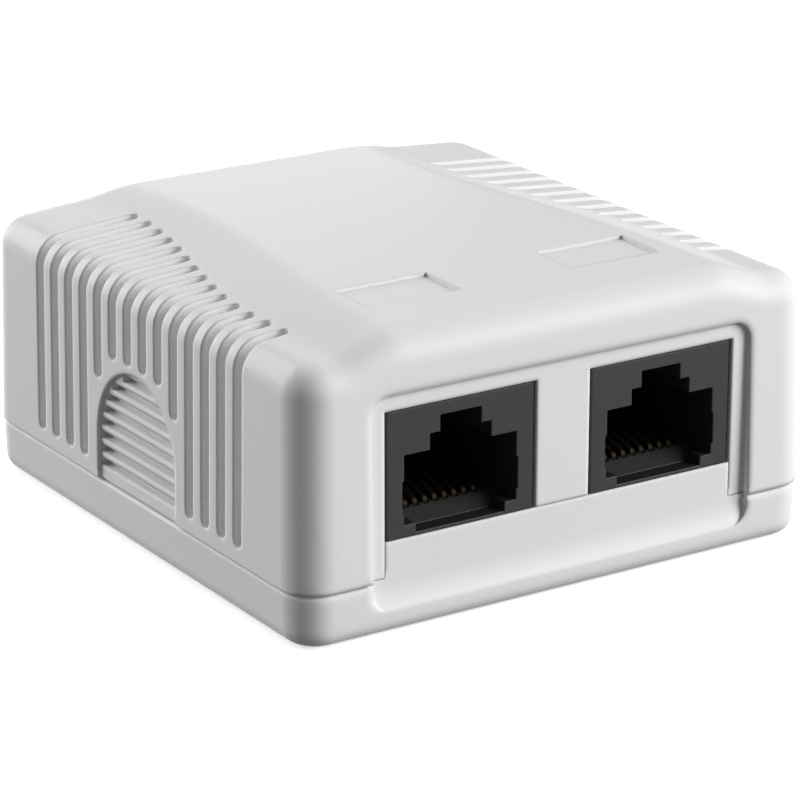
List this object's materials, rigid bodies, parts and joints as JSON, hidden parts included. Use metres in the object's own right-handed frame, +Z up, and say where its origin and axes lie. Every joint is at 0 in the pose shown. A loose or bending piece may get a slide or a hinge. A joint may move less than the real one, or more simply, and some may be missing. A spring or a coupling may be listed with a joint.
{
  "type": "surface mount jack box",
  "caption": "Low wall box with a ribbed clip-on cover, network sockets side by side in a recessed front panel, and punch-down blocks on a board inside.",
  "frame": {"origin": "middle of the flat underside", "axes": "+Z up out of the underside, the sockets face -Y, and +X is to the right seen from the front"},
  "size_m": [0.055, 0.058, 0.0273],
  "materials": {
    "case_plastic": "moulded white plastic, satin with a soft gloss",
    "socket_plastic": "black moulded thermoplastic",
    "carrier_plastic": "black moulded thermoplastic",
    "block_plastic": "pale moulded plastic",
    "contact_gold": "gold-plated phosphor bronze",
    "blade_tin": "tinned bronze",
    "board_laminate": "green solder mask",
    "screw_steel": "zinc-plated steel",
    "foam_pad": "closed-cell foam tape"
  },
  "bodies": {
    "base": {"base": "case_plastic", "adhesive_pad": "foam_pad", "circuit_board": "board_laminate", "board_screw_front": "screw_steel", "board_screw_rear": "screw_steel", "socket_shell_left": "socket_plastic", "contact_carrier_left": "carrier_plastic", "punch_block_left": "block_plastic", "spring_contact_left_1": "contact_gold", "spring_contact_left_2": "contact_gold", "spring_contact_left_3": "contact_gold", "spring_contact_left_4": "contact_gold", "spring_contact_left_5": "contact_gold", "spring_contact_left_6": "contact_gold", "spring_contact_left_7": "contact_gold", "spring_contact_left_8": "contact_gold", "punch_blade_left_1": "blade_tin", "punch_blade_left_2": "blade_tin", "punch_blade_left_3": "blade_tin", "punch_blade_left_4": "blade_tin", "punch_blade_left_5": "blade_tin", "punch_blade_left_6": "blade_tin", "punch_blade_left_7": "blade_tin", "punch_blade_left_8": "blade_tin", "socket_shell_right": "socket_plastic", "contact_carrier_right": "carrier_plastic", "punch_block_right": "block_plastic", "spring_contact_right_1": "contact_gold", "spring_contact_right_2": "contact_gold", "spring_contact_right_3": "contact_gold", "spring_contact_right_4": "contact_gold", "spring_contact_right_5": "contact_gold", "spring_contact_right_6": "contact_gold", "spring_contact_right_7": "contact_gold", "spring_contact_right_8": "contact_gold", "punch_blade_right_1": "blade_tin", "punch_blade_right_2": "blade_tin", "punch_blade_right_3": "blade_tin", "punch_blade_right_4": "blade_tin", "punch_blade_right_5": "blade_tin", "punch_blade_right_6": "blade_tin", "punch_blade_right_7": "blade_tin", "punch_blade_right_8": "blade_tin"},
    "cover": {"cover": "case_plastic"}
  },
  "joints": [
    {"name": "cover_lift", "type": "slide", "parent": "base", "child": "cover", "axis": [0, 0, 1], "range_m": [0, 0.022]}
  ]
}
